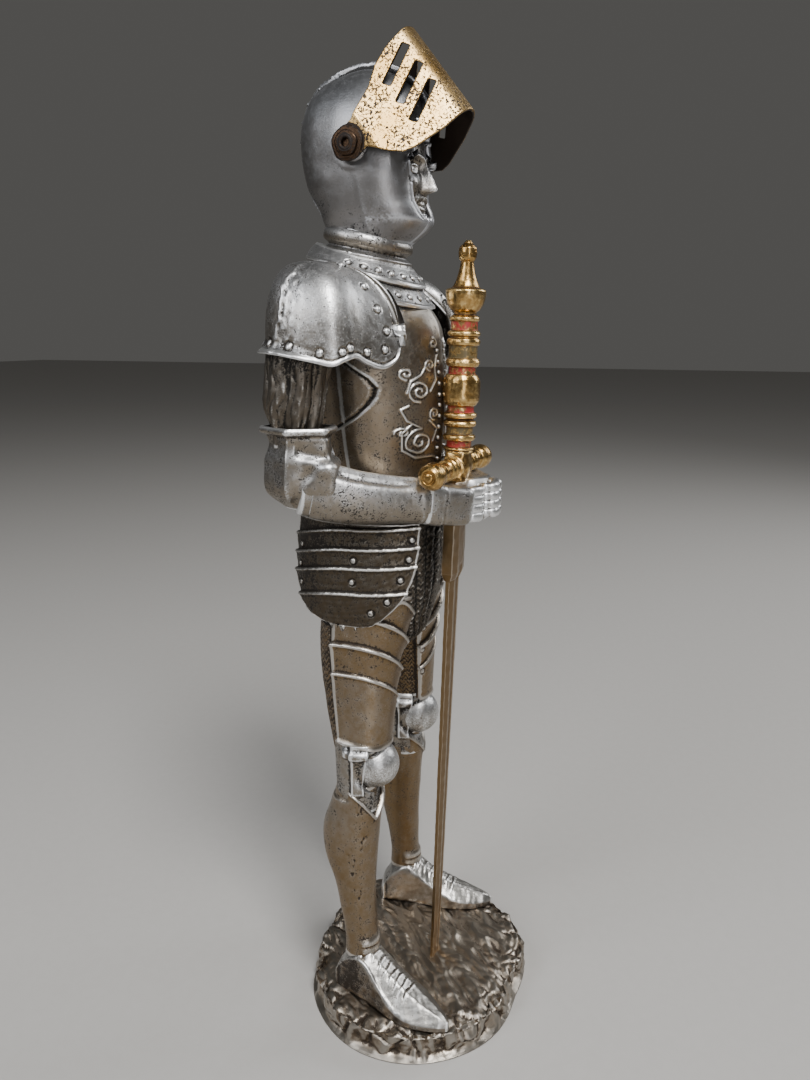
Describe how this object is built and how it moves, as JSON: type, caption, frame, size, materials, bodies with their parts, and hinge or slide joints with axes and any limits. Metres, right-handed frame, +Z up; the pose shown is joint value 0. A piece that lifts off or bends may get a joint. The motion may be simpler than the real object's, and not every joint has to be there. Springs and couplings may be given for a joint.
{
  "type": "knight statuette",
  "caption": "Cast metal statuette of a standing knight in plate armour, both hands on a grounded sword, with a hinged brass visor, on a rocky base.",
  "frame": {"origin": "centre of the base's flat underside, on the surface the statuette stands on", "axes": "+Z up; the knight faces -Y; +X is towards the knight's left hand"},
  "size_m": [0.0534, 0.0442, 0.181],
  "materials": {
    "antique_pewter": "antique silver over dark patina",
    "dark_mail": "blackened casting with bright high spots",
    "base_metal": "antique silver over dark patina",
    "visor_brass": "pale gilt, pitted with dark specks",
    "hilt_gilt": "gilt with red and green enamel bands",
    "dark_rivet": "dark brown patina",
    "blade_steel": "satin",
    "zinc_screw": "zinc plated"
  },
  "bodies": {
    "figure": {"backplate": "antique_pewter", "base_rock": "base_metal", "base_screws": "zinc_screw", "breastplate": "antique_pewter", "face": "antique_pewter", "gorget": "antique_pewter", "helmet": "antique_pewter", "left_couter": "antique_pewter", "left_cuisse": "antique_pewter", "left_gauntlet": "antique_pewter", "left_greave": "antique_pewter", "left_pauldron": "antique_pewter", "left_poleyn": "antique_pewter", "left_sabaton": "antique_pewter", "left_tasset": "antique_pewter", "left_upper_arm": "dark_mail", "left_vambrace": "antique_pewter", "left_visor_rivet": "dark_rivet", "mail_skirt": "dark_mail", "neck_guard": "antique_pewter", "right_couter": "antique_pewter", "right_cuisse": "antique_pewter", "right_gauntlet": "antique_pewter", "right_greave": "antique_pewter", "right_pauldron": "antique_pewter", "right_poleyn": "antique_pewter", "right_sabaton": "antique_pewter", "right_tasset": "antique_pewter", "right_upper_arm": "dark_mail", "right_vambrace": "antique_pewter", "right_visor_rivet": "dark_rivet", "shoulder_dowels": "antique_pewter", "sword_blade": "blade_steel", "sword_guard": "hilt_gilt", "sword_hilt": "hilt_gilt"},
    "visor": {"visor": "visor_brass"}
  },
  "joints": [
    {"name": "visor_hinge", "type": "hinge", "parent": "figure", "child": "visor", "pos_m": [0, 0.009, 0.1618], "axis": [-1, 0, 0], "range_deg": [-50, 28]}
  ]
}
